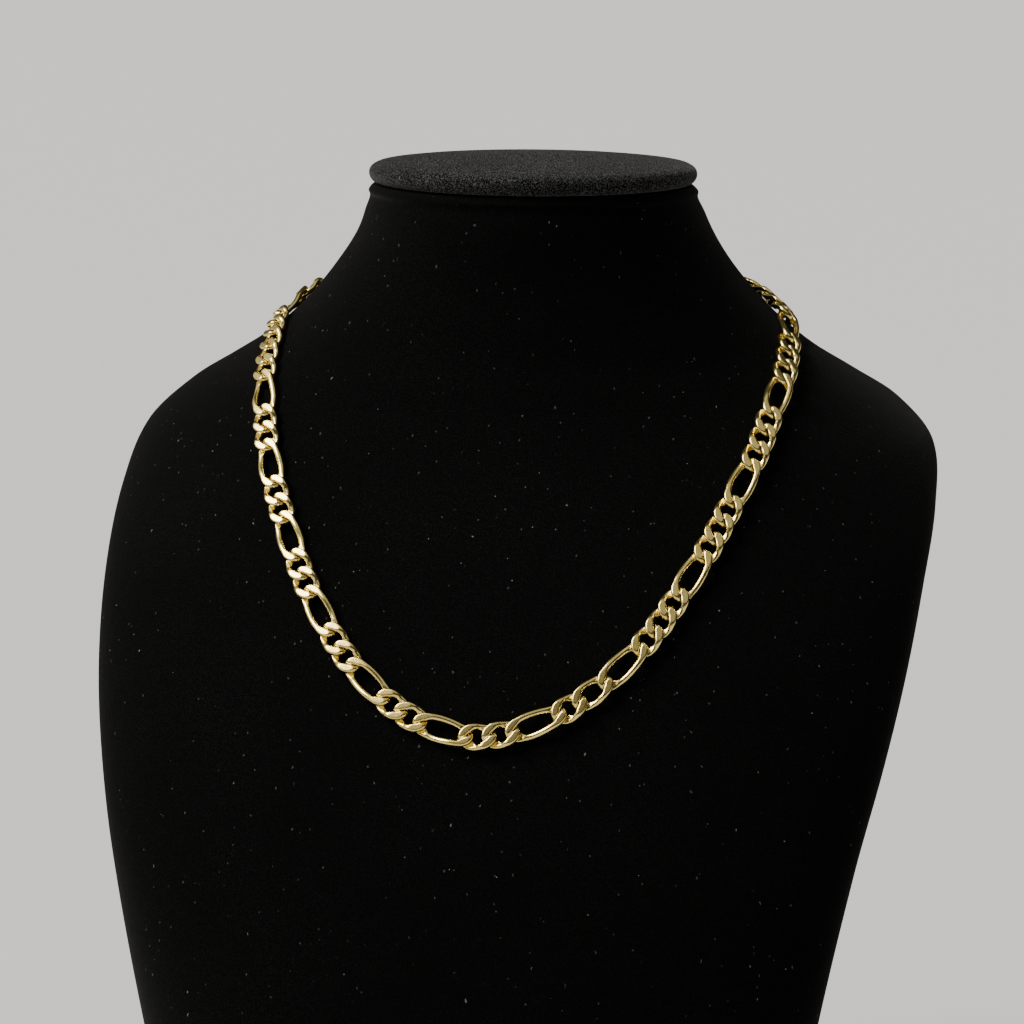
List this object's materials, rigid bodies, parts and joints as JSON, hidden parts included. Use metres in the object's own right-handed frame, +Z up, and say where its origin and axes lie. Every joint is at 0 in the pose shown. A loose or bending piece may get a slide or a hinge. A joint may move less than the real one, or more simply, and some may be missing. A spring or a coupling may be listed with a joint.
{
  "type": "figaro chain on a neck bust",
  "caption": "Closed neck chain of flat interlocked short and long links, worn by a free-standing padded display bust with an oval neck cap.",
  "frame": {"origin": "on the surface that the bust stands on, under the middle of the whole's box", "axes": "+Z up along the neck, the chest faces -Y, +X to the right as one looks at the front"},
  "size_m": [0.216, 0.1544, 0.2883],
  "materials": {
    "velvet": "black flocked velvet with a grey nap sheen",
    "gold": "satin yellow gold with bright bevelled edges"
  },
  "bodies": {
    "root": {"neck_bust": "velvet", "neck_cap": "velvet", "chain_left": "gold", "chain_right": "gold", "clasp": "gold"}
  },
  "joints": []
}
